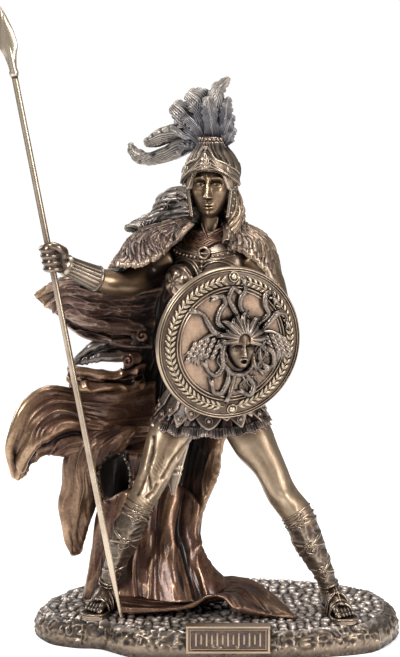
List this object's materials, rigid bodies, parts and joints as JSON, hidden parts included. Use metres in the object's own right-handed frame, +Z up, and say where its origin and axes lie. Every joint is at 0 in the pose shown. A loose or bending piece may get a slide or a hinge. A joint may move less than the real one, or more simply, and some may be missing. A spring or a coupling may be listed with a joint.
{
  "type": "statuette",
  "caption": "Bronze-finish statuette of a helmeted warrior goddess with spear, round shield and wind-blown cloak, standing on a rocky oval base.",
  "frame": {"origin": "centre of the base's flat underside", "axes": "+Z up, the viewer stands at -Y and sees +X on their right"},
  "size_m": [0.2138, 0.1114, 0.3459],
  "materials": {
    "figure_bronze": "cold-cast bronze-powder resin, antiqued dark red-brown in the folds, edges rubbed to a satin golden bronze",
    "base_bronze": "cold-cast bronze-powder resin, brown rock with rubbed golden edges",
    "shield_bronze": "cold-cast bronze-powder resin, pale antique gold with dark recesses",
    "spear_brass": "plain satin, pale gold bronze"
  },
  "bodies": {
    "root": {"figure": "figure_bronze", "base": "base_bronze", "shield": "shield_bronze", "spear": "spear_brass"}
  },
  "joints": []
}
